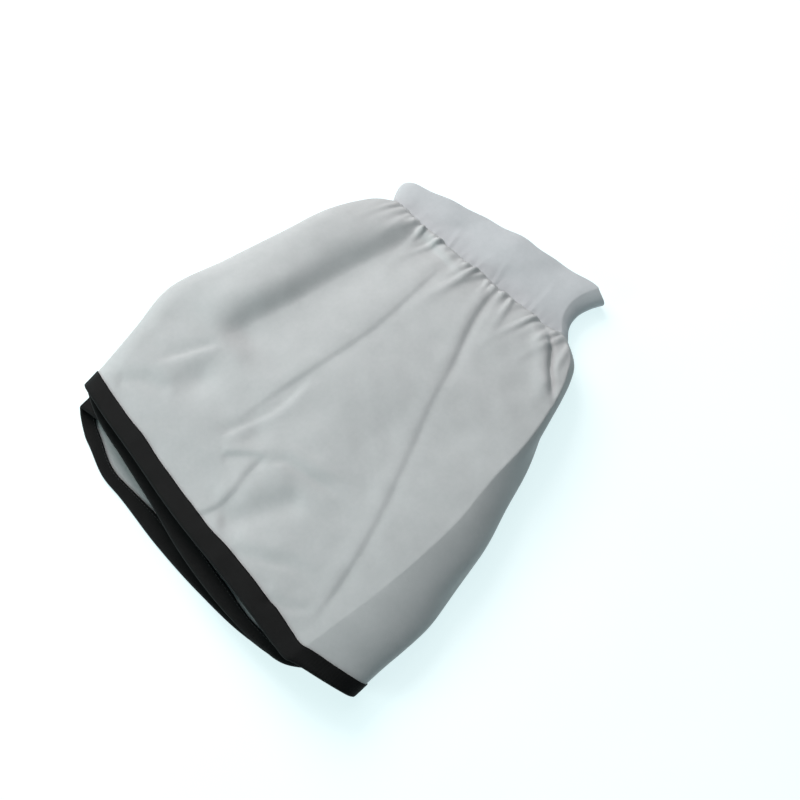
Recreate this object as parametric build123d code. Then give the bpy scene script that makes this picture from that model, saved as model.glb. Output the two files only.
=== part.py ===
from build123d import *
import math
import os

# Filter bag of a dust collector, in millimetres. The bag is a sewn tube of felt cloth: a wide
# mouth with a bound hem and a gathered neck with a plain cuff. It lies pressed flat and folded
# in half along its length, as it is packed: four plies, with the thick rounded fold on +X and
# the two sewn side edges on -X. +Y runs from the mouth to the neck and +Z is up.
# The origin is the middle of the bag's underside.

# ---- driving dimensions ------------------------------------------------------------------
mouth_diameter = 508.0          # ring that the open mouth is clamped round
neck_diameter = 305.0           # spigot that the cuff is clamped round
body_length = 446.0             # furthest point of the mouth hem to the neck seam
cuff_length = 70.0              # neck seam to the furthest point of the cuff
belly_width = 435.0             # folded bag across its widest place
shoulder_width = 325.0          # folded bag across the shoulders, where the gathers begin

cloth = 2.0                     # felt of the bag
cuff_cloth = 2.4                # cuff: thinner cloth, folded double
tape = 1.0                      # binding tape, one layer
binding_width = 19.0            # visible width of the binding on each side of the hem
seam_allowance = 10.0           # cloth outside the stitches of a side seam
laid_gap = 0.6                  # air between two plies that lie on each other
thread_gap = 0.15               # air between a stitch and the cloth that it lies on

mouth_height = 54.0             # stack of plies at the mouth
neck_height = 32.0              # stack of plies at the neck seam
cuff_end_height = 28.0          # stack of plies at the end of the cuff
core_gap = 3.0                  # air between the two inner plies
fold_inset = 18.0               # inner fold, back from the outer fold
edge_run = 26.0                 # stretch in which a ply spreads from its side seam

fold_hem_step = 46.0            # all hems, back from the mouth's furthest point at the fold
sewn_hem_step = 64.0            # top hem, back from that point at the upper side seam
lower_sewn_step = 46.0          # bottom hem, the same at the lower side seam
hem_corner_radius = 30.0        # rounding of the corners of the hems
cuff_end_step = 34.0            # cuff's end, back from its furthest point on the sewn side

thread = 0.8                    # sewing thread
stitch_length = 5.0
stitch_pitch = 8.0
stitch_edge = 3.5               # stitch row in from the edge that it holds
height_step = 32.0              # stretch of a stitch row that lies straight

# ---- places that follow from them --------------------------------------------------------
mouth_y = -(body_length + cuff_length) / 2
neck_y = mouth_y + body_length
cuff_end_y = neck_y + cuff_length
far = 2 * (body_length + cuff_length)
half_turn_extra = math.pi / 2 - 1
sole_trim = 0.15                # cut off the underside, so that it rests on a true plane
bound_share = 0.2               # share of the body length that the binding lies within


def folded_width(diameter, height):
    """Width of a tube of this diameter, pressed flat and folded in half, from its sewn edges
    to the outer fold. The two outer plies go round the stack, the inner ones turn inside."""
    quarter = math.pi * diameter / 4
    outer_turn = height / 2
    inner_turn = core_gap / 2 + cloth
    return quarter + (fold_inset - half_turn_extra * (outer_turn + inner_turn)) / 2


mouth_width = folded_width(mouth_diameter, mouth_height)
neck_width = folded_width(neck_diameter, neck_height)

# Stations of the body: share of the body length, width, middle of the width, height.
body_stations = [
    (-0.06, mouth_width - 2, 10, mouth_height),
    (0.06, mouth_width, 10, mouth_height),
    (0.17, mouth_width + 6, 10, mouth_height),
    (0.30, (mouth_width + belly_width) / 2 + 8, 4, mouth_height),
    (0.44, belly_width - 5, -4, mouth_height),
    (0.58, belly_width - 40, -6, mouth_height - 1),
    (0.74, belly_width - 75, -8, mouth_height - 4),
    (0.88, shoulder_width, -6, mouth_height - 10),
    (0.96, (shoulder_width + neck_width) / 2 + 12, -6, (mouth_height + neck_height) / 2 - 2),
    (1.0, neck_width, -7, neck_height),
]
cuff_stations = [
    (0.0, neck_width, -7, neck_height),
    (0.4, neck_width - 2, -12, (neck_height + cuff_end_height) / 2),
    (1.1, neck_width + 2, -16, cuff_end_height),
]


# ---- shapes ------------------------------------------------------------------------------
def outer_path(left, right, height, thick):
    """Middle line, as (x, z), of the outer half of the folded tube: top ply, outer fold,
    bottom ply. It starts and ends flat on the inner half, in the side seams."""
    turn = (height - thick) / 2
    seam_top = 0.74 * height
    seam_low = 0.24 * height
    start = left + edge_run
    stop = right - height / 2
    rise = [
        (left, seam_top),
        (left + 0.2 * edge_run, seam_top),
        (left + 0.4 * edge_run, seam_top + 0.01 * height),
        (left + 0.75 * edge_run, (seam_top + height) / 2),
        (start + 0.3 * edge_run, height - thick / 2 - 0.02 * height),
    ]
    top = [(start + (stop - start) * n / 8, height - thick / 2) for n in range(2, 9)]
    fold = []
    for n in range(1, 8):
        angle = math.pi * (0.5 - n / 8)
        fold.append((stop + turn * math.cos(angle), height / 2 + turn * math.sin(angle)))
    sole = thick / 2 - sole_trim
    bottom = [(start + (stop - start) * n / 8, sole) for n in range(8, 1, -1)]
    dip = [
        (start + 0.3 * edge_run, thick / 2 + 0.02 * height),
        (left + 0.75 * edge_run, seam_low / 2),
        (left + 0.4 * edge_run, seam_low - 0.01 * height),
        (left + 0.2 * edge_run, seam_low),
        (left, seam_low),
    ]
    return rise + top + fold + bottom + dip


def inner_path(left, right, height, thick):
    """Middle line of the inner half: under the top ply, round the inner fold and back over
    the bottom ply."""
    turn = (core_gap + thick) / 2
    middle = height / 2
    seam_top = 0.74 * height - thick - laid_gap
    seam_low = 0.24 * height + thick + laid_gap
    start = left + edge_run
    stop = right - fold_inset - turn - height * 0.1
    drop = [
        (left, seam_top),
        (left + 0.2 * edge_run, seam_top),
        (left + 0.4 * edge_run, seam_top - 0.01 * height),
        (left + 0.9 * edge_run, (seam_top + middle + turn) / 2),
        (start + 0.5 * edge_run, middle + turn + 0.01 * height),
    ]
    upper = [(start + (stop - start) * n / 8, middle + turn) for n in range(2, 9)]
    fold = []
    for n in range(1, 6):
        angle = math.pi * (0.5 - n / 6)
        fold.append((stop + turn * math.cos(angle), middle + turn * math.sin(angle)))
    lower = [(start + (stop - start) * n / 8, middle - turn) for n in range(8, 1, -1)]
    lift = [
        (start + 0.5 * edge_run, middle - turn - 0.01 * height),
        (left + 0.9 * edge_run, (seam_low + middle - turn) / 2),
        (left + 0.4 * edge_run, seam_low + 0.01 * height),
        (left + 0.2 * edge_run, seam_low),
        (left, seam_low),
    ]
    return drop + upper + fold + lower + lift


def offset_path(path, distance):
    """The path moved sideways, square to its own direction."""
    moved = []
    for n, (x, z) in enumerate(path):
        x0, z0 = path[max(n - 1, 0)]
        x1, z1 = path[min(n + 1, len(path) - 1)]
        run = math.hypot(x1 - x0, z1 - z0)
        moved.append((x - (z1 - z0) / run * distance, z + (x1 - x0) / run * distance))
    return moved


def ply_wire(path, thick, y):
    """Closed outline, in the plane of one station, of a ply of this thickness."""
    sides = offset_path(path, thick / 2) + offset_path(path, -thick / 2)[::-1]
    return Wire.make_polygon([Vector(x, y, z) for x, z in sides], close=True)


def ply(stations, start_y, length, path, thick, layer=0.0):
    """One half of the folded tube as a solid. A layer of tape adds to both its faces."""
    wires = []
    for share, width, middle, height in stations:
        cover = tape if length == body_length and share < bound_share else 0
        line = path(middle - width / 2, middle + width / 2, height, thick + 2 * cover)
        wires.append(ply_wire(line, thick + 2 * layer, start_y + share * length))
    return Solid.make_loft(wires)


def plan_area(front):
    """Area behind a hem, from the hem's corners in order along +X. The corners lie on the
    folded bag and its edges; past them the outline runs on to the sides."""
    (x0, y0), (x1, y1) = front[0], front[1]
    (x2, y2), (x3, y3) = front[-2], front[-1]
    start = (-far, y0 + (y1 - y0) / (x1 - x0) * (-far - x0))
    end = (far, y3 + (y3 - y2) / (x3 - x2) * (far - x3))
    inner = front[1:-1]
    shape = make_face(Polyline(start, *inner, end, (far, far), (-far, far), close=True))
    bends = [v for v in shape.vertices() if any(math.dist((v.X, v.Y), p) < 1 for p in inner)]
    return fillet(bends, hem_corner_radius)


# Corners of the four hems, from the side seam on -X to the fold on +X. The two upper hems
# meet at the upper seam, the two lower ones at the lower seam, and each pair at its fold.
mouth_middle = 10
mouth_left = mouth_middle - mouth_width / 2
mouth_right = mouth_middle + mouth_width / 2
inner_right = mouth_right - fold_inset - 0.1 * mouth_height
fold_hem_y = mouth_y + fold_hem_step
upper_seam_end = (mouth_left, mouth_y + sewn_hem_step)
lower_seam_end = (mouth_left, mouth_y + lower_sewn_step)
hems = {
    "top": [
        upper_seam_end,
        (mouth_right - mouth_height, mouth_y + 8),
        (mouth_right, fold_hem_y),
    ],
    "upper_inner": [
        upper_seam_end,
        (mouth_left + 0.5 * mouth_width, mouth_y + 9),
        (mouth_right - 1.4 * mouth_height, mouth_y + 1),
        (inner_right, fold_hem_y),
    ],
    "lower_inner": [
        lower_seam_end,
        (mouth_left + 0.18 * mouth_width, mouth_y + 22),
        (mouth_right - 1.8 * mouth_height, mouth_y + 6),
        (inner_right, fold_hem_y),
    ],
    "bottom": [
        lower_seam_end,
        (mouth_left + 0.16 * mouth_width, mouth_y + 16),
        (mouth_right - 2 * mouth_height, mouth_y),
        (mouth_right, fold_hem_y),
    ],
}
plans = {name: plan_area(hem) for name, hem in hems.items()}
storey_split = mouth_height / 2


def storey(plan, low, high, end_y):
    """The part of a plan's area between two heights and up to end_y."""
    block = extrude(plan, amount=high - low).moved(Location((0, 0, low)))
    reach = Box(4 * far, 4 * far, high - low, align=(Align.CENTER, Align.MAX, Align.MIN))
    return block & reach.moved(Location((0, end_y, low)))


def hem_cut(solid, upper, lower, end_y):
    """A half of the bag cut to two plans: one for its upper ply, one for its lower ply."""
    keep = storey(upper, storey_split, far, end_y)
    keep += storey(lower, 0, storey_split, end_y)
    return solid & keep


def shrunk(plan, distance):
    """The plan with its hem moved back into the cloth."""
    return offset(plan, amount=-distance, kind=Kind.INTERSECTION)


def strip(plan):
    """The strip of a plan's area that the binding covers."""
    return plan - shrunk(plan, binding_width)


def tidy(shape):
    """The shape's solids that are more than crumbs, as one solid or one compound."""
    solids = [s for s in shape.solids() if s.volume > 20]
    return solids[0] if len(solids) == 1 else Compound(children=solids)


os.makedirs("parts", exist_ok=True)


def write(shape, name):
    export_step(shape, f"parts/{name}.step")
    print(name, len(shape.solids()), round(shape.volume / 1000, 2), "cm3")


# ---- cloth panels ------------------------------------------------------------------------
# The raw edges stop one layer of tape short of the hem, inside the binding.
outer_cloth = ply(body_stations, mouth_y, body_length, outer_path, cloth)
inner_cloth = ply(body_stations, mouth_y, body_length, inner_path, cloth)
raw_edge = {name: shrunk(plan, tape) for name, plan in plans.items()}
outer_panel = tidy(hem_cut(outer_cloth, raw_edge["top"], raw_edge["bottom"], neck_y))
inner_panel = tidy(hem_cut(inner_cloth, raw_edge["upper_inner"], raw_edge["lower_inner"], neck_y))
write(outer_panel, "outer_panel")
write(inner_panel, "inner_panel")

# ---- binding of the mouth ----------------------------------------------------------------
# One closed loop of tape, folded over the raw edges of all four plies.
outer_bound = ply(body_stations, mouth_y, body_length, outer_path, cloth, layer=tape)
inner_bound = ply(body_stations, mouth_y, body_length, inner_path, cloth, layer=tape)
strips = {name: strip(plan) for name, plan in plans.items()}
mouth_binding = hem_cut(outer_bound, strips["top"], strips["bottom"], neck_y)
mouth_binding += hem_cut(inner_bound, strips["upper_inner"], strips["lower_inner"], neck_y)
mouth_binding = tidy(mouth_binding - outer_panel - inner_panel)
write(mouth_binding, "mouth_binding")

# ---- cuff --------------------------------------------------------------------------------
cuff_left = cuff_stations[-1][2] - neck_width / 2
cuff_right = cuff_stations[-1][2] + neck_width / 2
cuff_plan = make_face(Polyline(
    (-far, 0),
    (-far, cuff_end_y - cuff_end_step - 6),
    (cuff_left, cuff_end_y - cuff_end_step),
    (cuff_left + 0.25 * neck_width, cuff_end_y - 0.6 * cuff_end_step),
    (cuff_right, cuff_end_y),
    (far, cuff_end_y),
    (far, 0),
    close=True,
))


def cuff_half(path, height_limit):
    """Half of the cuff, on the plies of the body, with its end cut to the cuff's plan."""
    solid = ply(cuff_stations, neck_y, cuff_length, path, cuff_cloth)
    return tidy(solid & extrude(cuff_plan, amount=height_limit))


outer_cuff = cuff_half(outer_path, far)
inner_cuff = cuff_half(inner_path, far)
write(outer_cuff, "outer_cuff")
write(inner_cuff, "inner_cuff")


# ---- stitching ---------------------------------------------------------------------------
def surface_height(solid, x, y, face):
    """Height of one face of a solid over a plan point: face counts the faces that a vertical
    line meets, from below."""
    hits = solid.find_intersection_points(Axis((x, y, -far), (0, 0, 1)))
    heights = sorted(point.Z for point, normal in hits)
    if len(heights) != 4:
        raise ValueError(f"a stitch row leaves the cloth at {x:.1f}, {y:.1f}")
    return heights[face]


def stitch_row(solid, points, face, up):
    """Stitches along a row given by its plan corners, laid on one face of a solid. up is +1
    on a face that looks up and -1 on one that looks down."""
    stitches = []
    for (x0, y0), (x1, y1) in zip(points, points[1:]):
        run = math.hypot(x1 - x0, y1 - y0)
        spans = max(round(run / height_step), 1)
        knots = []
        for n in range(spans + 1):
            x = x0 + (x1 - x0) * n / spans
            y = y0 + (y1 - y0) * n / spans
            knots.append(Vector(x, y, surface_height(solid, x, y, face) + up * thread_gap))
        for low, high in zip(knots, knots[1:]):
            lie = (high - low).normalized()
            length = (high - low).length
            count = max(int(length / stitch_pitch), 1)
            for n in range(count):
                middle = low + lie * (length * (n + 0.5) / count)
                rise = lie.cross(Vector(0, 0, up).cross(lie))
                place = Plane(origin=middle, x_dir=lie, z_dir=rise)
                seat = (Align.CENTER, Align.CENTER, Align.MIN)
                stitches.append(place * Box(stitch_length, thread, thread, align=seat))
    return stitches


def hem_row(name, solid, face, up):
    """A row on the binding: it follows a hem at the binding's inner edge, from the side seam
    to the last corner before the fold."""
    setback = binding_width - 2 * stitch_edge
    row = [(x, y + setback) for x, y in hems[name][:-1]]
    row[0] = between(row[0], row[1], 1.4 * edge_run)
    return stitch_row(solid, row, face, up)


def between(start, end, distance):
    """The point at a distance from start on the way to end."""
    share = distance / math.dist(start, end)
    return (start[0] + (end[0] - start[0]) * share, start[1] + (end[1] - start[1]) * share)


def edge_points(stations, start_y, length, first_y, last_y):
    """Plan points of the stitch line beside the side seams, between two places along +Y."""
    edge = [(start_y + s * length, mid - width / 2) for s, width, mid, height in stations]
    steps = max(int((last_y - first_y) / 30), 1)
    points = []
    for n in range(steps + 1):
        y = first_y + (last_y - first_y) * n / steps
        for (y0, x0), (y1, x1) in zip(edge, edge[1:]):
            if y0 <= y <= y1:
                x = x0 + (x1 - x0) * (y - y0) / (y1 - y0)
                points.append((x + seam_allowance - stitch_edge, y))
                break
    return points


def write_stitches(rows, name):
    write(Compound(children=rows), name)


write_stitches(
    hem_row("top", outer_bound, 3, 1)
    + hem_row("upper_inner", inner_bound, 3, 1)
    + hem_row("bottom", outer_bound, 1, 1),
    "binding_stitching",
)

neck_row = [
    (cuff_stations[0][2] - neck_width / 2 + edge_run, neck_y + stitch_edge),
    (cuff_stations[0][2] + neck_width / 2 - neck_height / 2, neck_y + stitch_edge),
]
write_stitches(
    stitch_row(outer_cuff, neck_row, 3, 1) + stitch_row(inner_cuff, neck_row[:1] + [
        (neck_row[1][0] - fold_inset, neck_y + stitch_edge),
    ], 3, 1),
    "neck_stitching",
)

cuff_row = [
    (cuff_left + edge_run, cuff_end_y - cuff_end_step - stitch_edge),
    (cuff_left + 0.3 * neck_width, cuff_end_y - 0.6 * cuff_end_step - 2 * stitch_edge),
    (cuff_right - cuff_end_height, cuff_end_y - 3 * stitch_edge),
]
write_stitches(stitch_row(outer_cuff, cuff_row, 3, 1), "cuff_edge_stitching")

upper_start = upper_seam_end[1] + binding_width + stitch_edge
lower_start = lower_seam_end[1] + binding_width + stitch_edge
body_end = neck_y - stitch_edge
cuff_start = neck_y + stitch_edge
cuff_stop = cuff_end_y - cuff_end_step - 2 * stitch_edge
cuff_side = edge_points(cuff_stations, neck_y, cuff_length, cuff_start, cuff_stop)
upper_side = edge_points(body_stations, mouth_y, body_length, upper_start, body_end)
lower_side = edge_points(body_stations, mouth_y, body_length, lower_start, body_end)
write_stitches(
    stitch_row(outer_cloth, upper_side, 3, 1) + stitch_row(outer_cuff, cuff_side, 3, 1),
    "upper_side_stitching",
)
write_stitches(
    stitch_row(outer_cloth, lower_side, 0, -1) + stitch_row(outer_cuff, cuff_side, 0, -1),
    "lower_side_stitching",
)
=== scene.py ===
"""Looks of a dust collector's filter bag: felt, gathers, folds, bound hem and stitching."""

import math

import bmesh
import bpy
import numpy as np
from bpy.props import FloatProperty, FloatVectorProperty, PointerProperty
from bpy.types import Operator, Panel, PropertyGroup
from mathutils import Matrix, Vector


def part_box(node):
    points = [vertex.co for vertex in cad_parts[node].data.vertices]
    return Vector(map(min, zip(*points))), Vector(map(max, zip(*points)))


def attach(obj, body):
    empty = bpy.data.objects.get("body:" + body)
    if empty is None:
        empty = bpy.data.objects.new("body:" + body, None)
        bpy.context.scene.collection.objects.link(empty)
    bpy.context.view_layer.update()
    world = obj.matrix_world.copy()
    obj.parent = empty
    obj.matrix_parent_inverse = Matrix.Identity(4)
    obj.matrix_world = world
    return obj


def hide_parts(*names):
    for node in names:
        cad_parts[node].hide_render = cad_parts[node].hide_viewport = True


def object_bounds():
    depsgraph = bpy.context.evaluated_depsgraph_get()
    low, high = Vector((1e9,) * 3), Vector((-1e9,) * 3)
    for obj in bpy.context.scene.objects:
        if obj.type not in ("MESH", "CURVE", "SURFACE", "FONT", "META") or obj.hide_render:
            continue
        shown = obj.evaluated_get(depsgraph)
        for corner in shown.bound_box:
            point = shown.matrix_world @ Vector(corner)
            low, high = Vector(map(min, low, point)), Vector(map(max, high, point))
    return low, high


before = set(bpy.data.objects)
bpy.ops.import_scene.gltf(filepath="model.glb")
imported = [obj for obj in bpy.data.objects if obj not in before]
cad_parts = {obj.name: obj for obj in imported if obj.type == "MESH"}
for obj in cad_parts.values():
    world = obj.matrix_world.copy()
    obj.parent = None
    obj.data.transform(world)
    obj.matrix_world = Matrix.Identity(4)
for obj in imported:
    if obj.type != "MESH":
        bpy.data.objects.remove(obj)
frame_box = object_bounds()

bl_info = {
    "name": "Dust Collector Filter Bag",
    "version": (1, 0, 0),
    "blender": (4, 5, 0),
    "location": "View3D > Sidebar > Filter Bag",
    "description": "Builds the cloth, hems and stitching of a folded filter bag",
    "category": "Object",
}

MM = 0.001
MOUTH_Y = frame_box[0][1]
NECK_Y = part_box("outer_cuff")[0][1]
BODY = NECK_Y - MOUTH_Y


# ---- settings ----------------------------------------------------------------------------
class BagCloth(PropertyGroup):
    """Sizes of the cloth and of its folds."""

    felt_gauge: FloatProperty(
        name="Felt", description="Thickness of the bag's felt", default=1.8 * MM, unit="LENGTH"
    )
    cuff_gauge: FloatProperty(
        name="Cuff", description="Thickness of the doubled cuff", default=2.2 * MM, unit="LENGTH"
    )
    tape_gauge: FloatProperty(
        name="Tape", description="Thickness of the binding tape", default=0.9 * MM, unit="LENGTH"
    )
    fold_depth: FloatProperty(
        name="Fold depth", description="Strength of the loose folds", default=1.0, min=0.0, max=2.0
    )
    pucker_depth: FloatProperty(
        name="Gathers", description="Height of the gathers at the neck", default=7.5 * MM,
        unit="LENGTH",
    )
    stitch_pitch: FloatProperty(
        name="Stitch pitch", description="Distance from stitch to stitch", default=4.0 * MM,
        unit="LENGTH",
    )


class BagColours(PropertyGroup):
    """Colours of the cloth, tape and thread."""

    felt: FloatVectorProperty(
        name="Felt", description="Colour of the felt", subtype="COLOR", size=3,
        default=(0.418, 0.424, 0.428),
    )
    cuff: FloatVectorProperty(
        name="Cuff", description="Colour of the cuff", subtype="COLOR", size=3,
        default=(0.445, 0.458, 0.475),
    )
    tape: FloatVectorProperty(
        name="Tape", description="Colour of the binding tape", subtype="COLOR", size=3,
        default=(0.0035, 0.0035, 0.0036),
    )
    white_thread: FloatVectorProperty(
        name="White thread", description="Colour of the thread in the seams", subtype="COLOR",
        size=3, default=(0.55, 0.56, 0.56),
    )
    black_thread: FloatVectorProperty(
        name="Black thread", description="Colour of the thread in the binding", subtype="COLOR",
        size=3, default=(0.012, 0.012, 0.013),
    )


# ---- small helpers -----------------------------------------------------------------------
def ease(t):
    """0 to 1 with a soft start and end."""
    t = np.clip(t, 0.0, 1.0)
    return t * t * (3 - 2 * t)


def bump(t, middle, reach):
    """A soft hill of height 1, with its top at middle."""
    return np.exp(-(((t - middle) / reach) ** 2))


def through(points, t):
    """A smooth curve through (place, value) pairs, read at the places t."""
    x = np.array([p[0] for p in points], float)
    y = np.array([p[1] for p in points], float)
    slope = np.gradient(y, x)
    t = np.clip(t, x[0], x[-1])
    k = np.clip(np.searchsorted(x, t, side="right") - 1, 0, len(x) - 2)
    h = x[k + 1] - x[k]
    s = (t - x[k]) / h
    return (
        (2 * s**3 - 3 * s**2 + 1) * y[k]
        + (s**3 - 2 * s**2 + s) * h * slope[k]
        + (3 * s**2 - 2 * s**3) * y[k + 1]
        + (s**3 - s**2) * h * slope[k + 1]
    )


def line_distance(points, x, y):
    """Signed distance from a smooth line in plan, and the share along it, for each x, y.
    The line goes through points given in millimetres; its left side is positive."""
    steps = 60
    knots = np.array(points, float) * MM
    run = np.concatenate([[0], np.cumsum(np.hypot(*np.diff(knots, axis=0).T))])
    t = np.linspace(0, run[-1], steps)
    lx = through(list(zip(run, knots[:, 0])), t)
    ly = through(list(zip(run, knots[:, 1])), t)
    best = np.full(x.shape, 1e9)
    side = np.zeros(x.shape)
    share = np.zeros(x.shape)
    for n in range(steps - 1):
        ax, ay, bx, by = lx[n], ly[n], lx[n + 1], ly[n + 1]
        dx, dy = bx - ax, by - ay
        s = np.clip(((x - ax) * dx + (y - ay) * dy) / (dx * dx + dy * dy), 0, 1)
        d = np.hypot(x - ax - s * dx, y - ay - s * dy)
        near = d < best
        best = np.where(near, d, best)
        side = np.where(near, np.sign(dx * (y - ay) - dy * (x - ax)), side)
        share = np.where(near, (n + s) / (steps - 1), share)
    return best * side, share


def fold(points, x, y, width, depth, ridge, reach, fade):
    """Height of a fold along a line: a valley, with a gentler ridge of that reach on its left
    side, or on its right side where ridge is negative. width is that of the valley's slopes
    on the left and on the right. It fades in and out over the given shares of the line."""
    d, share = line_distance(points, x, y)
    d = d / MM
    strength = ease(share / fade[0]) * ease((1 - share) / fade[1])
    left, right = width
    side = np.where(d > 0, left, right)
    valley = -depth * np.exp(-((d / side) ** 2))
    near = left if ridge > 0 else right
    place = math.copysign(near + 0.6 * reach, ridge)
    hill = abs(ridge) * np.exp(-(((d - place) / reach) ** 2))
    return (valley + hill) * strength * MM


def unevenness(seed, x, y, count, long, short):
    """Gentle unevenness: a sum of waves, each with its own direction and its own length
    between short and long, in millimetres. The seed settles them."""
    rng = np.random.default_rng(seed)
    total = np.zeros(np.shape(x))
    for _ in range(count):
        angle, phase = rng.uniform(0, math.pi), rng.uniform(0, 2 * math.pi)
        length = rng.uniform(short, long) * MM
        total += np.sin((x * math.cos(angle) + y * math.sin(angle)) * 2 * math.pi / length + phase)
    return total / math.sqrt(count)


# ---- the folded tube ---------------------------------------------------------------------
# The bag is one sewn tube, pressed flat and folded in half. A place on it is given by
# around, from 0 to 2, and by y. From 0 to 1 it is the outer half: top ply, thick fold on +X,
# bottom ply. From 1 to 2 it is the inner half: lower inner ply, inner fold, upper inner ply.
# The two halves meet in the side seams on -X, at 0 (or 2) and at 1.
# Outlines in plan and the height of the stack, in millimetres along y, of the body and of
# the cuff.
BODY_LEFT = [
    (-262, -194), (-192, -195), (-114, -208), (-60, -219), (5, -203), (70, -187),
    (130, -173), (158, -161), (177, -150), (188, -138),
]
BODY_RIGHT = [
    (-262, 212), (-200, 215), (-150, 214), (-100, 208), (-50, 200), (0, 189), (57, 177),
    (100, 167), (130, 159), (150, 151), (170, 138), (188, 113),
]
BODY_HEIGHT = [(-262, 53), (-100, 54), (0, 53), (80, 50), (135, 45), (168, 38), (188, 30)]
CUFF_LEFT = [(188, -138), (197, -143), (207, -147), (220, -149), (262, -149)]
CUFF_RIGHT = [(188, 114), (200, 104), (219, 97), (238, 98), (262, 107)]
CUFF_HEIGHT = [(188, 29), (215, 27), (262, 24)]
# Width of the rounding at the thick fold.
TURN = [(-262, 57), (-221, 55), (-160, 47), (-103, 36), (-50, 27), (12, 20), (60, 13), (188, 14)]
# How far the fold's foot lies back under its crest.
LEAN = [(-262, 0), (20, 0), (75, 14), (110, 22), (188, 18)]
# Where the top ply and the bottom ply begin and end, around the tube.
TOP_START, TOP_END, SOLE_START, SOLE_END = 0.05, 0.56, 0.66, 0.95
# Middle of the inner fold and half of its extent, around the tube.
INNER_FOLD, FOLD_HALF = 1.5, 0.03
# Heights of the upper and the lower side seam, as shares of the stack's height.
SEAM_HIGH, SEAM_LOW = 0.70, 0.24
# Hem of the mouth: y in millimetres, around the tube.
HEM = [
    (0.00, -188), (0.05, -197), (0.16, -211), (0.27, -225), (0.42, -238), (0.48, -244),
    (0.53, -249), (0.56, -250), (0.58, -243), (0.60, -233), (0.62, -225), (0.64, -223),
    (0.66, -232), (0.68, -245), (0.71, -251), (0.77, -252), (0.83, -247), (0.885, -238),
    (0.91, -235), (0.944, -221), (1.00, -202),
    (1.03, -200), (1.08, -204), (1.20, -227), (1.30, -242), (1.40, -246), (1.44, -243),
    (1.47, -233), (1.50, -214), (1.53, -231), (1.56, -249), (1.60, -254), (1.65, -254),
    (1.70, -250), (1.75, -243), (1.835, -226), (1.90, -214), (1.976, -198), (2.00, -188),
]
# Sag of the neck seam in millimetres, around the tube.
NECK_SAG = [(0.0, 0), (0.12, -3.5), (0.3, -6), (0.45, -6), (0.56, -3), (0.66, 0), (2.0, 0)]
# Width of the binding on each of its faces, in millimetres, around the tube.
HEM_WIDTH = [
    (0.0, 18), (0.3, 18.5), (0.56, 18), (0.61, 15), (0.66, 17), (0.84, 17), (0.90, 11),
    (0.95, 14), (1.0, 16), (1.2, 17), (1.5, 16), (1.56, 9), (1.62, 11), (1.68, 15),
    (1.75, 17), (1.85, 17), (2.0, 18),
]
# Shares of a fold's line over which it comes in and goes out, where it has none of its own.
SOFT_ENDS = (0.12, 0.2)
# Loose folds of the top ply. Each has its line in plan, the width of the valley's slopes on the
# left and on the right, its depth, the height and reach of the ridge beside it, all in
# millimetres, and its fade.
TOP_FOLDS = [
    # Deep valley from the neck, with the long soft slope of the roll along the sewn edge.
    ([(-74, 182), (-83, 150), (-99, 86), (-112, 14), (-126, -40), (-130, -72)],
     (44, 17), 9.0, -3.0, 24, (0.04, 0.14)),
    ([(-126, -62), (-144, -99), (-162, -134)], (3.2, 8), 1.7, 0.9, 8, (0.3, 0.4)),
    # Thin crease down the middle.
    ([(-37, 160), (-31, 97), (-30, 48), (-37, -12), (-46, -67), (-53, -141)],
     (8, 2.4), 1.0, -1.0, 12, (0.1, 0.3)),
    # Long thin crease towards the corner by the thick fold, deeper near the neck.
    ([(20, 172), (34, 125), (54, 74), (70, 27), (91, -24), (128, -123), (150, -221)],
     (7, 2.2), 0.9, -0.9, 10, (0.05, 0.12)),
    ([(20, 176), (34, 125), (52, 80), (64, 44)], (7, 5), 1.6, 0, 9, (0.1, 0.6)),
    # Ear at the shoulder, set off by a sharp crease.
    ([(49, 190), (77, 183), (101, 168), (125, 140), (153, 112)],
     (4, 3), 5.0, -3.0, 9, (0.1, 0.2)),
    ([(148, 110), (158, 116), (166, 134)], (6, 4), 3.0, 0, 9, (0.3, 0.3)),
    # Wrinkles where the cloth was creased in its packing.
    ([(-10, -216), (0, -197), (1, -173), (-5, -140), (-2, -119)],
     (2.4, 8), 1.1, 0.8, 7, SOFT_ENDS),
    ([(-2, -135), (13, -119), (38, -113), (55, -110), (78, -104)],
     (9, 2.6), 1.1, 1.0, 8, (0.2, 0.3)),
    ([(-54, -142), (-45, -114), (-35, -81), (-37, -30)], (9, 3.0), 1.4, -1.0, 8, SOFT_ENDS),
    ([(8, -204), (30, -176), (43, -149), (54, -124)], (14, 13), 3.0, 1.4, 18, SOFT_ENDS),
    ([(-36, -154), (-16, -136), (0, -126)], (4, 7), 1.3, 0.9, 6, SOFT_ENDS),
    ([(40, -218), (73, -199), (99, -185), (122, -184)], (9, 5), 1.0, 0.8, 10, SOFT_ENDS),
    ([(96, -228), (121, -217), (140, -201)], (7, 4), 0.9, 0.7, 8, SOFT_ENDS),
    ([(-172, -170), (-150, -150), (-120, -140)], (10, 8), 1.4, 0.8, 12, SOFT_ENDS),
]
# Slack and hollows between the folds: height, middle and reach along x, middle and reach
# along y, in millimetres.
TOP_SWELLS = [
    (-4.5, -112, 17, -112, 24),
    (-2.0, -31, 13, -112, 17),
    (3.5, -160, 34, 80, 90),
    (2.6, -60, 30, 60, 90),
    (2.4, 20, 40, -10, 110),
    (-0.8, -60, 60, -200, 50),
]
# Seeds of the gathers. The cuff repeats those of the top ply, because they share a seam.
TOP_GATHERS, BOTTOM_GATHERS, INNER_GATHERS, WALL_GATHERS = 11, 17, 19, 31


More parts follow.
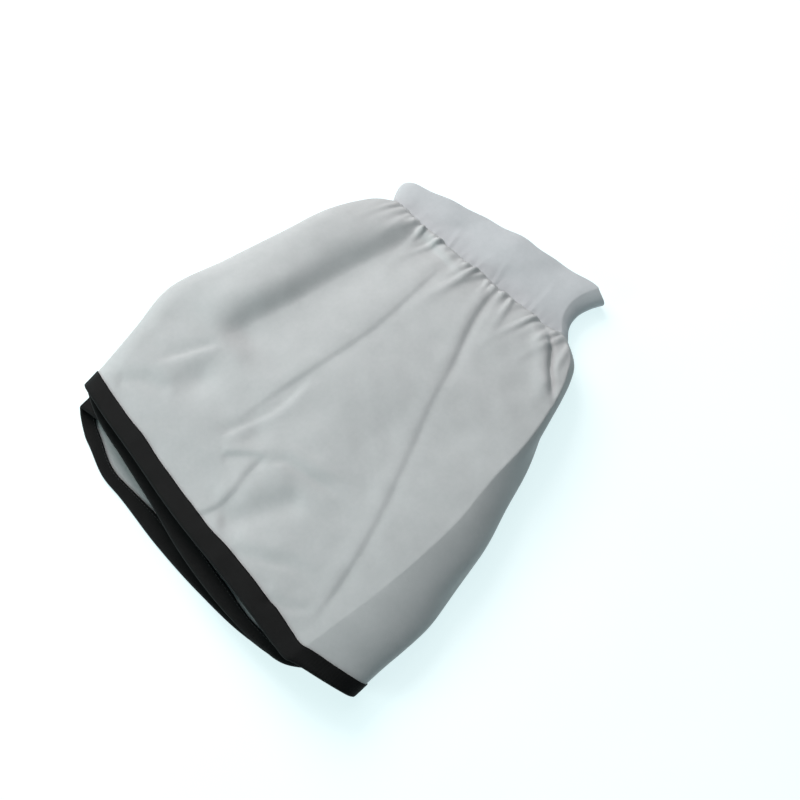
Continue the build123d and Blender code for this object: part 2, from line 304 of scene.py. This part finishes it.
def top_folds(x, y):
    """Height, in metres, that the loose folds of the top ply add to it."""
    h = np.zeros(x.shape)
    for line, width, depth, ridge, reach, fade in TOP_FOLDS:
        h += fold(line, x, y, width, depth, ridge, reach, fade)
    for height, x_middle, x_reach, y_middle, y_reach in TOP_SWELLS:
        across = bump(x, x_middle * MM, x_reach * MM)
        h += height * MM * across * bump(y, y_middle * MM, y_reach * MM)
    h += 0.9 * MM * unevenness(3, x, y, 7, 170, 90)
    h += 0.2 * MM * unevenness(5, x, y, 9, 46, 24)
    return h


def gathers(along, rest, seed):
    """Puckers at the neck: along is the way round in metres, rest the distance from the seam.
    Each pucker has its own width, height and length."""
    rng = np.random.default_rng(seed)
    h = np.zeros(along.shape)
    place = float(along.min())
    end = float(along.max())
    while place < end:
        width = rng.uniform(4.2, 8.0) * MM
        height = rng.uniform(0.3, 1.2)
        length = rng.uniform(8, 26) * MM
        lean = rng.uniform(-0.35, 0.35)
        centre = place + width + lean * rest
        spread = width * (0.58 + rest / (95 * MM))
        h += height * np.exp(-(((along - centre) / spread) ** 2)) * np.exp(-rest / length)
        place += 1.7 * width
    return h


def tube_section(around, left, right, height, turn, sole, lean):
    """Places (x, z) on the middle of the cloth, around one section of the tube."""
    x = np.zeros(around.shape)
    z = np.zeros(around.shape)
    round_in = np.minimum(24 * MM, 0.1 * (right - left))
    high = height * SEAM_HIGH
    low = height * SEAM_LOW
    middle = 0.5 * height
    # Upper side seam to the top ply.
    a = around / TOP_START
    on = around < TOP_START
    x = np.where(on, left + round_in * (1 - np.cos(a * math.pi / 2)), x)
    z = np.where(on, high + (height - high) * np.sin(a * math.pi / 2), z)
    # Top ply.
    t = (around - TOP_START) / (TOP_END - TOP_START)
    on = (around >= TOP_START) & (around < TOP_END)
    x = np.where(on, left + round_in + (right - turn - left - round_in) * t, x)
    z = np.where(on, height, z)
    # Thick fold.
    a = (around - TOP_END) / (SOLE_START - TOP_END) * math.pi
    on = (around >= TOP_END) & (around < SOLE_START)
    # The top ply breaks over a soft edge, so that its slope starts at once.
    out = np.sin(np.clip(a, 0, math.pi))
    out = np.where(a < math.pi / 2, out**1.8, out)
    x = np.where(on, right - turn + turn * out - lean * (1 - np.cos(a)) / 2, x)
    z = np.where(on, middle + sole / 2 + (middle - sole / 2) * np.cos(a), z)
    # Bottom ply.
    t = (around - SOLE_START) / (SOLE_END - SOLE_START)
    on = (around >= SOLE_START) & (around < SOLE_END)
    x = np.where(on, right - turn - lean - (right - turn - lean - left - round_in) * t, x)
    z = np.where(on, sole, z)
    a = (around - SOLE_END) / (1 - SOLE_END)
    on = (around >= SOLE_END) & (around <= 1)
    x = np.where(on, left + round_in * (1 - np.sin(a * math.pi / 2)), x)
    z = np.where(on, sole + (low - sole) * (1 - np.cos(a * math.pi / 2)), z)
    # Inner half.
    small = 2.6 * MM
    fold_x = right - 0.62 * turn - 0.6 * lean - small
    t = (around - 1) / (INNER_FOLD - FOLD_HALF - 1)
    on = (around > 1) & (around < INNER_FOLD - FOLD_HALF)
    x = np.where(on, left + (fold_x - left) * t, x)
    z = np.where(on, low + (middle - small - low) * ease(t * 5.5), z)
    a = (around - INNER_FOLD + FOLD_HALF) / (2 * FOLD_HALF) * math.pi
    on = (around >= INNER_FOLD - FOLD_HALF) & (around < INNER_FOLD + FOLD_HALF)
    x = np.where(on, fold_x + small * 1.6 * np.sin(a), x)
    z = np.where(on, middle - small * np.cos(a), z)
    t = (2 - around) / (2 - INNER_FOLD - FOLD_HALF)
    on = around >= INNER_FOLD + FOLD_HALF
    x = np.where(on, left + (fold_x - left) * t, x)
    z = np.where(on, high + (middle + small - high) * ease(t * 5.5), z)
    return x, z


def hem_y(around):
    """Line of the hem at the mouth."""
    return through(HEM, around) * MM


def seam_y(around):
    """Line of the neck seam, which the gathers pull about."""
    pull = 1.1 * np.sin(around * 47) + 0.7 * np.sin(around * 83 + 1) + 0.4 * np.sin(around * 151)
    return NECK_Y + (through(NECK_SAG, around) + pull * (around < 0.64)) * MM


def bag_place(around, y):
    """Places on the body's cloth."""
    cloth = bpy.context.scene.bag_cloth
    ymm = y / MM
    left = through(BODY_LEFT, ymm) * MM
    right = through(BODY_RIGHT, ymm) * MM
    height = through(BODY_HEIGHT, ymm) * MM - cloth.felt_gauge / 2
    turn = through(TURN, ymm) * MM
    # The tape under it lifts the bottom ply at the hem.
    rise = cloth.tape_gauge * 1.3 * ease((40 * MM - (y - hem_y(around))) / (25 * MM))
    sole = cloth.felt_gauge / 2 + 0.1 * MM + rise
    lean = through(LEAN, ymm) * MM
    x, z = tube_section(around, left, right, height, turn, sole, lean)
    rest = np.maximum(seam_y(around) - y, 0)
    top = ease(around / 0.07) * ease((TOP_END + 0.035 - around) / 0.06)
    inner = (around > 1).astype(float)
    bottom = ((around > SOLE_START) & (around <= 1)).astype(float)
    seam_in = ease(rest / (4.5 * MM))
    z = z + cloth.fold_depth * top * top_folds(x, y) * ease(rest / (22 * MM))
    puckers = gathers(x, rest, TOP_GATHERS)
    z = z + cloth.pucker_depth * puckers * top * (0.3 + 0.7 * seam_in)
    # The seam draws the top ply down into a groove.
    z = z - 2.6 * MM * (1 - seam_in) * top
    z = z + 0.5 * cloth.pucker_depth * gathers(x, rest, BOTTOM_GATHERS) * bottom * seam_in
    upper = (around > INNER_FOLD).astype(float)
    # The two inner plies pucker away from each other.
    apart = inner * (2 * upper - 1)
    z = z + 0.35 * cloth.pucker_depth * gathers(x, rest, INNER_GATHERS) * apart * seam_in
    z = z + 1.2 * MM * unevenness(23, x, y, 6, 160, 90) * inner * ease(1 - abs(around - 1.5) * 2.1)
    # The side wall of the thick fold is dented and creased.
    a = np.clip((around - TOP_END) / (SOLE_START - TOP_END), 0, 1)
    wall = np.sin(a * math.pi) ** 2
    dents = 1.6 * MM * unevenness(29, y, z * 2, 6, 150, 60)
    dents = dents - 2.2 * MM * bump(y, -150 * MM, 18 * MM) * np.sin(a * 5)
    dents = dents + 2.4 * MM * gathers(z - y * 0.15, rest, WALL_GATHERS) * (rest < 60 * MM)
    x = x + dents * wall
    return np.stack([x, y, np.maximum(z, sole)], axis=-1)


def cuff_place(around, y):
    """Places on the middle of the doubled cuff."""
    cloth = bpy.context.scene.bag_cloth
    ymm = y / MM
    left = through(CUFF_LEFT, ymm) * MM
    right = through(CUFF_RIGHT, ymm) * MM
    height = through(CUFF_HEIGHT, ymm) * MM - cloth.cuff_gauge / 2 - 1.2 * MM
    sole = cloth.cuff_gauge / 2 + 0.1 * MM + np.zeros(y.shape)
    lean = 14 * MM * ease((268 - ymm) / 80)
    x, z = tube_section(around, left, right, height, np.full(y.shape, 15 * MM), sole, lean)
    top = ease(around / 0.07) * ease((TOP_END + 0.04 - around) / 0.06)
    past = y - NECK_Y
    wave = 1.1 * MM * unevenness(41, x, y, 6, 130, 70) + 0.25 * MM * unevenness(43, x, y, 6, 40, 22)
    dip = -1.6 * MM * bump(x, -60 * MM, 26 * MM) + 1.4 * MM * bump(x, 20 * MM, 30 * MM)
    z = z + top * (wave + dip * ease(past / (30 * MM)))
    z = z + 0.9 * MM * gathers(x, np.maximum(past, 0), TOP_GATHERS) * top
    return np.stack([x, y, np.maximum(z, sole)], axis=-1)


# Free end of the cuff: y in millimetres, around the tube.
CUFF_END = [
    (0.00, 207), (0.03, 217), (0.07, 224), (0.15, 232), (0.25, 242), (0.38, 249), (0.50, 254),
    (0.56, 256), (0.61, 253), (0.66, 254), (0.75, 251), (0.85, 241), (0.93, 227), (1.00, 209),
    (1.06, 219), (1.15, 232), (1.30, 245), (1.44, 249), (1.50, 245), (1.56, 250), (1.70, 246),
    (1.85, 233), (1.95, 219), (2.00, 207),
]


def cuff_end_y(around):
    """Line of the cuff's free end, slightly rippled."""
    ripple = 0.7 * MM * np.sin(around * 61) + 0.5 * MM * np.sin(around * 37 + 1)
    return through(CUFF_END, around) * MM + ripple


# ---- meshes ------------------------------------------------------------------------------
def make_object(name, bm):
    """A smooth-shaded object at the origin, its place in its mesh."""
    bmesh.ops.recalc_face_normals(bm, faces=bm.faces)
    mesh = bpy.data.meshes.new(name)
    bm.to_mesh(mesh)
    bm.free()
    for polygon in mesh.polygons:
        polygon.use_smooth = True
    piece = bpy.data.objects.new(name, mesh)
    bpy.context.scene.collection.objects.link(piece)
    return piece


def grid_sheet(name, columns, rows, place, uv):
    """A sheet of cloth from a bmesh grid: place turns its columns and rows, both counted
    from 0 to 1, into positions, and uv turns them into places on the flat cloth."""
    bm = bmesh.new()
    bmesh.ops.create_grid(bm, x_segments=columns, y_segments=rows, size=0.5)
    s = np.array([v.co.x + 0.5 for v in bm.verts])
    t = np.array([v.co.y + 0.5 for v in bm.verts])
    spots = place(s, t)
    layer = bm.loops.layers.uv.new("cloth")
    across, along = uv(s, t)
    for vert, spot in zip(bm.verts, spots):
        vert.co = spot
    bm.verts.index_update()
    for face in bm.faces:
        for loop in face.loops:
            n = loop.vert.index
            loop[layer].uv = (across[n], along[n])
    return make_object(name, bm)


def thicken(piece, gauge):
    """Gives a sheet its gauge, half on each side."""
    solid = piece.modifiers.new("gauge", "SOLIDIFY")
    solid.thickness = gauge
    solid.offset = 0.0
    solid.use_even_offset = False
    solid.use_rim = True


def finish_piece(piece, material, slot, *nodes):
    """Material and body of a piece that stands for these CAD nodes, which it hides. The slot is not
    used.
    """
    piece.data.materials.append(material)
    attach(piece, "root")
    if nodes:
        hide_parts(*nodes)


def normals_at(surface, around, y, step=0.6 * MM):
    """Unit normals of a surface of the tube, away from the inside of the tube."""
    turn = 0.0015
    lower = np.clip(around - turn, 0, 2)
    upper = np.clip(around + turn, 0, 2)
    a = surface(upper, y) - surface(lower, y)
    b = surface(around, y + step) - surface(around, y - step)
    n = np.cross(b, a)
    return n / np.maximum(np.linalg.norm(n, axis=-1, keepdims=True), 1e-12)


# ---- cloth panels ------------------------------------------------------------------------
OUTER_COLUMNS, OUTER_ROWS = 276, 164
INNER_COLUMNS, INNER_ROWS = 150, 90
# How far the felt's raw edge lies inside the fold of the binding.
RAW_EDGE = 1.0 * MM
# Length of cloth, in metres, that one unit around the tube takes up.
CLOTH_AROUND = 0.8


def panel_place(start, stop):
    """Place function of a panel from one side seam to the other."""
    def place(s, t):
        around = start + (stop - start) * s
        near = hem_y(around) + RAW_EDGE
        share = 1 - (1 - t) ** 1.2
        return bag_place(around, near + (seam_y(around) - near) * share)
    return place


def denser_top(s):
    """Spreads the outer panel's columns so that most lie on the top ply."""
    return through([(0, 0), (0.06, 0.04), (0.64, 0.56), (0.77, 0.66), (0.95, 0.95), (1, 1)], s)


class BAG_OT_panels(Operator):
    """Builds the two halves of the felt tube, with their folds and gathers"""

    bl_idname = "bag.panels"
    bl_label = "Felt panels"

    def execute(self, context):
        cloth = context.scene.bag_cloth
        outer = panel_place(0.0, 1.0)
        inner = panel_place(1.0, 2.0)
        pieces = [
            grid_sheet("outer_felt", OUTER_COLUMNS, OUTER_ROWS,
                       lambda s, t: outer(denser_top(s), t),
                       lambda s, t: (denser_top(s) * CLOTH_AROUND, t * BODY)),
            grid_sheet("inner_felt", INNER_COLUMNS, INNER_ROWS, inner,
                       lambda s, t: (s * CLOTH_AROUND, t * BODY)),
        ]
        felt = felt_material()
        for piece, node in zip(pieces, ("outer_panel", "inner_panel")):
            thicken(piece, cloth.felt_gauge)
            finish_piece(piece, felt, "felt", node)
        return {"FINISHED"}


# ---- doubled strips: cuff and binding -----------------------------------------------------
# Width of a strip's pattern across both of its layers, in metres.
STRIP_ACROSS = 0.052


def doubled_strip(name, surface, edge, reach, gap, columns, rows, start, stop):
    """A strip folded double over the line y = edge(around): one layer on the outside of a
    surface, one on the inside, with a round turn between them. The layers lie gap away from
    the surface and reach(around) far from the edge, towards -Y where that is negative."""
    turn_share = 0.12

    def place(s, t):
        around = start + (stop - start) * s
        out = reach(around)
        lead = -1.0 if out.mean() >= 0 else 1.0
        flat = (1 - turn_share) / 2
        angle = np.clip((t - flat) / turn_share, 0, 1) * math.pi
        share = np.where(t < flat, 1 - t / flat, np.where(t > 1 - flat, (t - 1 + flat) / flat, 0))
        y = edge(around) + share * out
        spot = surface(around, y)
        spot = spot + normals_at(surface, around, y) * (gap * np.cos(angle))[:, None]
        spot[:, 1] += gap * np.sin(angle) * lead
        return spot

    return grid_sheet(name, columns, rows, place,
                      lambda s, t: (s * (stop - start) * CLOTH_AROUND, t * STRIP_ACROSS))


class BAG_OT_cuff(Operator):
    """Builds the plain cuff at the neck, a strip folded double over its free end"""

    bl_idname = "bag.cuff"
    bl_label = "Cuff"

    def execute(self, context):
        cloth = context.scene.bag_cloth
        tuck_under_felt = 7.0 * MM

        def depth(around):
            return seam_y(around) - tuck_under_felt - cuff_end_y(around)

        material = cuff_material()
        halves = (("outer_cuff_cloth", "outer_cuff", 0.0, 1.0, 240),
                  ("inner_cuff_cloth", "inner_cuff", 1.0, 2.0, 120))
        for name, node, start, stop, columns in halves:
            piece = doubled_strip(name, cuff_place, cuff_end_y, depth, cloth.cuff_gauge / 4,
                                  columns, 64, start, stop)
            thicken(piece, cloth.cuff_gauge / 2)
            finish_piece(piece, material, "cuff_cloth", node)
        return {"FINISHED"}


# Gap between the felt and the tape.
TAPE_CLEARANCE = 0.15 * MM


class BAG_OT_binding(Operator):
    """Builds the black tape folded over the raw edge all round the mouth"""

    bl_idname = "bag.binding"
    bl_label = "Mouth binding"

    def execute(self, context):
        cloth = context.scene.bag_cloth

        def width(around):
            ripple = 0.35 * MM * np.sin(around * 53) + 0.25 * MM * np.sin(around * 91)
            return through(HEM_WIDTH, around) * MM + ripple

        gap = cloth.felt_gauge / 2 + cloth.tape_gauge / 2 + TAPE_CLEARANCE
        piece = doubled_strip("hem_tape", bag_place, hem_y, width, gap, 620, 26, 0.0, 2.0)
        thicken(piece, cloth.tape_gauge)
        finish_piece(piece, tape_material(), "binding_tape", "mouth_binding")
        return {"FINISHED"}


# ---- stitching ---------------------------------------------------------------------------
THREAD_GAUGE = 0.42 * MM
THREAD_SIDES = 6
# A stitch's rings: place along it as a share of its length, how far each arches up and how
# thick it is, both as shares of the thread's gauge.
STITCH_PLACES = np.array([-0.5, -0.28, 0.28, 0.5])
STITCH_HEIGHTS = np.array([0.05, 0.8, 0.8, 0.05])
STITCH_WIDTHS = np.array([0.55, 1.0, 1.0, 0.55])
# Length of a stitch as a share of the pitch.
STITCH_LENGTH = 0.62
# Distances of the rows: from the tape's inner edge, the neck seam and the cuff's free end.
HEM_ROW, NECK_ROW, END_ROW = 2.2 * MM, 3.4 * MM, 9 * MM
# Where the side seams start behind the hem.
SIDE_ROW_START = 27 * MM


def stitch_row(bm, surface, around, y, lift, pitch):
    """Adds a lockstitch row: short rounded bars of thread that dip into the cloth at both
    ends. around and y give the row's line, and lift is the cloth's surface above it."""
    line = surface(around, y)
    run = np.concatenate([[0], np.cumsum(np.linalg.norm(np.diff(line, axis=0), axis=1))])
    centre = (np.arange(int(run[-1] / pitch)) + 0.5) * pitch
    rings_of_one = len(STITCH_PLACES)
    at = centre[:, None] + STITCH_PLACES[None, :] * pitch * STITCH_LENGTH
    a = np.interp(at.ravel(), run, around)
    b = np.interp(at.ravel(), run, y)
    core = surface(a, b).reshape(len(centre), rings_of_one, 3)
    normal = normals_at(surface, a, b).reshape(len(centre), rings_of_one, 3)
    axis = core[:, -1] - core[:, 0]
    axis /= np.linalg.norm(axis, axis=1, keepdims=True)
    side = np.cross(normal, axis[:, None, :])
    side /= np.linalg.norm(side, axis=2, keepdims=True)
    core = core + normal * (lift + THREAD_GAUGE * (0.5 * STITCH_HEIGHTS - 0.2))[None, :, None]
    for n in range(len(centre)):
        rings = []
        for j in range(rings_of_one):
            ring = []
            for k in range(THREAD_SIDES):
                turn = k * 2 * math.pi / THREAD_SIDES
                reach = side[n, j] * math.cos(turn) + normal[n, j] * math.sin(turn)
                radius = THREAD_GAUGE * 0.5 * STITCH_WIDTHS[j]
                ring.append(bm.verts.new(core[n, j] + reach * radius))
            rings.append(ring)
        for first, second in zip(rings, rings[1:]):
            for k in range(THREAD_SIDES):
                after = (k + 1) % THREAD_SIDES
                bm.faces.new((first[k], first[after], second[after], second[k]))
        bm.faces.new(rings[0][::-1])
        bm.faces.new(rings[-1])


class BAG_OT_stitching(Operator):
    """Sews the binding, the neck seam, the cuff's end and the side seams"""

    bl_idname = "bag.stitching"
    bl_label = "Stitching"

    def execute(self, context):
        cloth = context.scene.bag_cloth
        colours = context.scene.bag_colours
        threads = {
            "black_thread": thread_material("black_thread", tuple(colours.black_thread)),
            "white_thread": thread_material("white_thread", tuple(colours.white_thread)),
        }
        on_tape = cloth.felt_gauge / 2 + cloth.tape_gauge + TAPE_CLEARANCE
        on_cuff = cloth.cuff_gauge / 2
        on_felt = cloth.felt_gauge / 2

        def sew(name, node, thread, surface, around, y, lift):
            bm = bmesh.new()
            stitch_row(bm, surface, around, y, lift, cloth.stitch_pitch)
            finish_piece(make_object(name, bm), threads[thread], thread, node)

        hem = np.linspace(0.0, 2.0, 400)
        inner_edge = hem_y(hem) + through(HEM_WIDTH, hem) * MM
        sew("binding_thread", "binding_stitching", "black_thread", bag_place, hem,
            inner_edge - HEM_ROW, on_tape)

        seen = np.linspace(0.01, 0.64, 200)
        sew("neck_thread", "neck_stitching", "white_thread", cuff_place, seen,
            seam_y(seen) + NECK_ROW, on_cuff)
        sew("cuff_end_thread", "cuff_edge_stitching", "white_thread", cuff_place, seen,
            cuff_end_y(seen) - END_ROW, on_cuff)

        along = np.linspace(0, 1, 200)
        for name, node, place in (("upper_side_thread", "upper_side_stitching", 0.004),
                                  ("lower_side_thread", "lower_side_stitching", 0.996)):
            around = np.full(along.shape, place)
            start = hem_y(around) + SIDE_ROW_START
            row = start + (NECK_Y - start) * along
            sew(name, node, "white_thread", bag_place, around, row, on_felt)
        return {"FINISHED"}


# ---- materials ---------------------------------------------------------------------------
def node_tree(name):
    """A new node material: its tree, its shader and a function that adds nodes to it."""
    material = bpy.data.materials.new(name)
    material.use_nodes = True
    tree = material.node_tree
    tree.nodes.clear()
    shader = tree.nodes.new("ShaderNodeBsdfPrincipled")
    output = tree.nodes.new("ShaderNodeOutputMaterial")
    tree.links.new(shader.outputs["BSDF"], output.inputs["Surface"])

    def add(kind, settings=None, **inputs):
        node = tree.nodes.new(kind)
        for key, value in (settings or {}).items():
            setattr(node, key, value)
        for key, value in inputs.items():
            socket = node.inputs[key.replace("_", " ")]
            if isinstance(value, bpy.types.NodeSocket):
                tree.links.new(value, socket)
            else:
                socket.default_value = value
        return node

    return material, tree, shader, add


def object_places(add):
    """Object coordinates."""
    return add("ShaderNodeTexCoord").outputs["Object"]


def shade_range(add, factor, dark, light, low=0.3, high=0.7):
    """A colour ramp between two shades of one colour."""
    ramp = add("ShaderNodeValToRGB", None, Fac=factor)
    ramp.color_ramp.elements[0].position = low
    ramp.color_ramp.elements[0].color = (*dark, 1)
    ramp.color_ramp.elements[1].position = high
    ramp.color_ramp.elements[1].color = (*light, 1)
    return ramp.outputs["Color"]


def needled_cloth(name, colour, fibre_scale, roughness, sheen, bump_height):
    """Felt or smooth nonwoven: matted fibres, faint cloudiness and a soft sheen."""
    material, tree, shader, add = node_tree(name)
    where = object_places(add)
    cloud = add("ShaderNodeTexNoise", None, Vector=where, Scale=14.0, Detail=4.0,
                Roughness=0.6).outputs["Fac"]
    mottle = add("ShaderNodeTexNoise", None, Vector=where, Scale=190.0, Detail=3.0,
                 Roughness=0.65).outputs["Fac"]
    fibres = add("ShaderNodeTexNoise", None, Vector=where, Scale=fibre_scale, Detail=6.0,
                 Roughness=0.7, Distortion=1.6).outputs["Fac"]
    lint = add("ShaderNodeTexVoronoi", {"feature": "DISTANCE_TO_EDGE"}, Vector=where,
               Scale=fibre_scale * 0.6).outputs["Distance"]
    darker, lighter = 0.93, 1.045
    dark = tuple(c * darker for c in colour)
    light = tuple(min(c * lighter, 1) for c in colour)
    base = shade_range(add, cloud, dark, light)
    fine = shade_range(add, mottle, (0.95, 0.955, 0.955), (1.0, 1.0, 1.0))
    mixed = add("ShaderNodeMix", {"data_type": "RGBA", "blend_type": "MULTIPLY"})
    mixed.inputs[0].default_value = 1.0
    tree.links.new(base, mixed.inputs[6])
    tree.links.new(fine, mixed.inputs[7])
    tree.links.new(mixed.outputs[2], shader.inputs["Base Color"])
    rough = add("ShaderNodeMapRange", None, Value=mottle)
    rough.inputs["To Min"].default_value = roughness - 0.05
    rough.inputs["To Max"].default_value = min(roughness + 0.08, 1)
    tree.links.new(rough.outputs["Result"], shader.inputs["Roughness"])
    matted = add("ShaderNodeMath", {"operation": "MULTIPLY_ADD"})
    tree.links.new(lint, matted.inputs[0])
    matted.inputs[1].default_value = -0.8
    tree.links.new(fibres, matted.inputs[2])
    soft = add("ShaderNodeBump", None, Height=matted.outputs["Value"], Strength=0.35,
               Distance=bump_height)
    tree.links.new(soft.outputs["Normal"], shader.inputs["Normal"])
    shader.inputs["Sheen Weight"].default_value = sheen
    shader.inputs["Sheen Roughness"].default_value = 0.6
    shader.inputs["Specular IOR Level"].default_value = 0.12
    return material


def felt_material():
    """Needled felt of the bag."""
    colour = tuple(bpy.context.scene.bag_colours.felt)
    return needled_cloth("needled_felt", colour, 900.0, 0.88, 0.1, 0.25 * MM)


def cuff_material():
    """Smoother cloth of the cuff."""
    colour = tuple(bpy.context.scene.bag_colours.cuff)
    return needled_cloth("smooth_cuff_cloth", colour, 1400.0, 0.82, 0.1, 0.15 * MM)


def tape_material():
    """Black woven binding tape: ribs across its width and a slight sheen."""
    material, tree, shader, add = node_tree("black_woven_tape")
    colour = tuple(bpy.context.scene.bag_colours.tape)
    where = add("ShaderNodeUVMap", {"uv_map": "cloth"}).outputs["UV"]
    ribs = add("ShaderNodeTexWave", {"wave_type": "BANDS", "bands_direction": "X"},
               Vector=where, Scale=220.0, Distortion=0.6, Detail=1.0).outputs["Fac"]
    picks = add("ShaderNodeTexWave", {"wave_type": "BANDS", "bands_direction": "Y"},
                Vector=where, Scale=320.0, Distortion=0.4, Detail=1.0).outputs["Fac"]
    weave = add("ShaderNodeMath", {"operation": "MULTIPLY"})
    tree.links.new(ribs, weave.inputs[0])
    tree.links.new(picks, weave.inputs[1])
    worn = add("ShaderNodeTexNoise", None, Vector=object_places(add), Scale=60.0,
               Detail=4.0).outputs["Fac"]
    light = tuple(c * 1.9 for c in colour)
    base = shade_range(add, worn, colour, light, 0.35, 0.75)
    tree.links.new(base, shader.inputs["Base Color"])
    rough = add("ShaderNodeMapRange", None, Value=worn)
    rough.inputs["To Min"].default_value = 0.55
    rough.inputs["To Max"].default_value = 0.75
    tree.links.new(rough.outputs["Result"], shader.inputs["Roughness"])
    relief = add("ShaderNodeBump", None, Height=weave.outputs["Value"], Strength=0.5,
                 Distance=0.25 * MM)
    tree.links.new(relief.outputs["Normal"], shader.inputs["Normal"])
    shader.inputs["Specular IOR Level"].default_value = 0.1
    return material


def thread_material(name, colour):
    """Twisted sewing thread."""
    material, tree, shader, add = node_tree(name)
    where = object_places(add)
    twist = add("ShaderNodeTexWave", {"wave_type": "BANDS", "bands_direction": "DIAGONAL"},
                Vector=where, Scale=900.0, Distortion=1.0).outputs["Fac"]
    base = shade_range(add, twist, tuple(c * 0.85 for c in colour), colour)
    tree.links.new(base, shader.inputs["Base Color"])
    relief = add("ShaderNodeBump", None, Height=twist, Strength=0.4, Distance=0.1 * MM)
    tree.links.new(relief.outputs["Normal"], shader.inputs["Normal"])
    shader.inputs["Roughness"].default_value = 0.55
    return material


# ---- stage -------------------------------------------------------------------------------
VIEW_AZIMUTH, VIEW_ELEVATION = 44.0, 62.0
VIEW_DISTANCE = 1.640
VIEW_TARGET = (0.0337, 0.0201, 0.024)
LENS = 74.2
FLOOR_REACH = 30.0
# How far the floor lies under the bag.
FLOOR_DROP = 0.6 * MM
# Place, aim, width, power and colour of each lamp.
LAMPS = {
    "key": ((-1.5, 0.55, 1.5), (0, 0, 0), 1.6, 53, (1.0, 0.955, 0.95)),
    "low": ((-0.75, -1.5, 0.75), (0, -0.25, 0), 0.8, 17, (0.80, 1.0, 0.97)),
    "top": ((-0.3, 0.4, 2.2), (0, 0, 0), 2.0, 16, (1.0, 0.97, 0.96)),
}


def area_light(name, place, aim, size, power, colour):
    """A round soft lamp at a place, aimed at another."""
    light = bpy.data.lights.new(name, "AREA")
    light.shape = "DISK"
    light.size = size
    light.energy = power
    light.color = colour
    lamp = bpy.data.objects.new(name, light)
    lamp.location = place
    lamp.rotation_euler = (Vector(aim) - Vector(place)).to_track_quat("-Z", "Y").to_euler()
    bpy.context.scene.collection.objects.link(lamp)


class BAG_OT_stage(Operator):
    """Sets up the camera, the pale floor and the soft studio light"""

    bl_idname = "bag.stage"
    bl_label = "Stage"

    def execute(self, context):
        scene = context.scene
        azimuth, elevation = math.radians(VIEW_AZIMUTH), math.radians(VIEW_ELEVATION)
        back = Vector((
            math.sin(azimuth) * math.cos(elevation),
            -math.cos(azimuth) * math.cos(elevation),
            math.sin(elevation),
        ))
        camera = bpy.data.objects.new("camera", bpy.data.cameras.new("camera"))
        camera.data.lens = LENS
        camera.data.sensor_width = 36.0
        camera.data.clip_start = 0.05
        camera.location = Vector(VIEW_TARGET) + back * VIEW_DISTANCE
        camera.rotation_euler = back.to_track_quat("Z", "Y").to_euler()
        scene.collection.objects.link(camera)
        scene.camera = camera

        bm = bmesh.new()
        bmesh.ops.create_grid(bm, x_segments=2, y_segments=2, size=FLOOR_REACH)
        floor = make_object("floor", bm)
        floor.location.z = -FLOOR_DROP
        material, tree, shader, add = node_tree("pale_floor")
        speck = add("ShaderNodeTexNoise", None, Vector=object_places(add), Scale=3.0,
                    Detail=2.0).outputs["Fac"]
        base = shade_range(add, speck, (0.30, 0.30, 0.30), (0.33, 0.33, 0.33))
        tree.links.new(base, shader.inputs["Base Color"])
        shader.inputs["Roughness"].default_value = 0.9
        shader.inputs["Emission Color"].default_value = (0.82, 0.98, 1.0, 1)
        shader.inputs["Emission Strength"].default_value = 0.80
        floor.data.materials.append(material)

        world = bpy.data.worlds.new("studio")
        world.use_nodes = True
        sky = world.node_tree.nodes["Background"]
        sky.inputs["Color"].default_value = (0.55, 0.92, 1.0, 1)
        sky.inputs["Strength"].default_value = 0.14
        scene.world = world
        for name, (place, aim, size, power, colour) in LAMPS.items():
            area_light(name, place, aim, size, power, colour)
        scene.view_settings.view_transform = "Standard"
        return {"FINISHED"}


# ---- panel in the sidebar ----------------------------------------------------------------
OPERATORS = (BAG_OT_stage, BAG_OT_panels, BAG_OT_cuff, BAG_OT_binding, BAG_OT_stitching)


class BAG_PT_sidebar(Panel):
    """Sizes, colours and build steps of the filter bag"""

    bl_idname = "BAG_PT_sidebar"
    bl_label = "Filter Bag"
    bl_space_type = "VIEW_3D"
    bl_region_type = "UI"
    bl_category = "Filter Bag"

    def draw(self, context):
        layout = self.layout
        for group in (context.scene.bag_cloth, context.scene.bag_colours):
            for name in group.__annotations__:
                layout.prop(group, name)
        for operator in OPERATORS:
            layout.operator(operator.bl_idname)


CLASSES = (BagCloth, BagColours, *OPERATORS, BAG_PT_sidebar)


def register():
    for cls in CLASSES:
        bpy.utils.register_class(cls)
    bpy.types.Scene.bag_cloth = PointerProperty(type=BagCloth)
    bpy.types.Scene.bag_colours = PointerProperty(type=BagColours)


def unregister():
    del bpy.types.Scene.bag_colours
    del bpy.types.Scene.bag_cloth
    for cls in reversed(CLASSES):
        bpy.utils.unregister_class(cls)


def main():
    """Registers the classes and builds every piece."""
    register()
    bpy.ops.bag.stage()
    bpy.ops.bag.panels()
    bpy.ops.bag.cuff()
    bpy.ops.bag.binding()
    bpy.ops.bag.stitching()


if __name__ == "__main__":
    main()
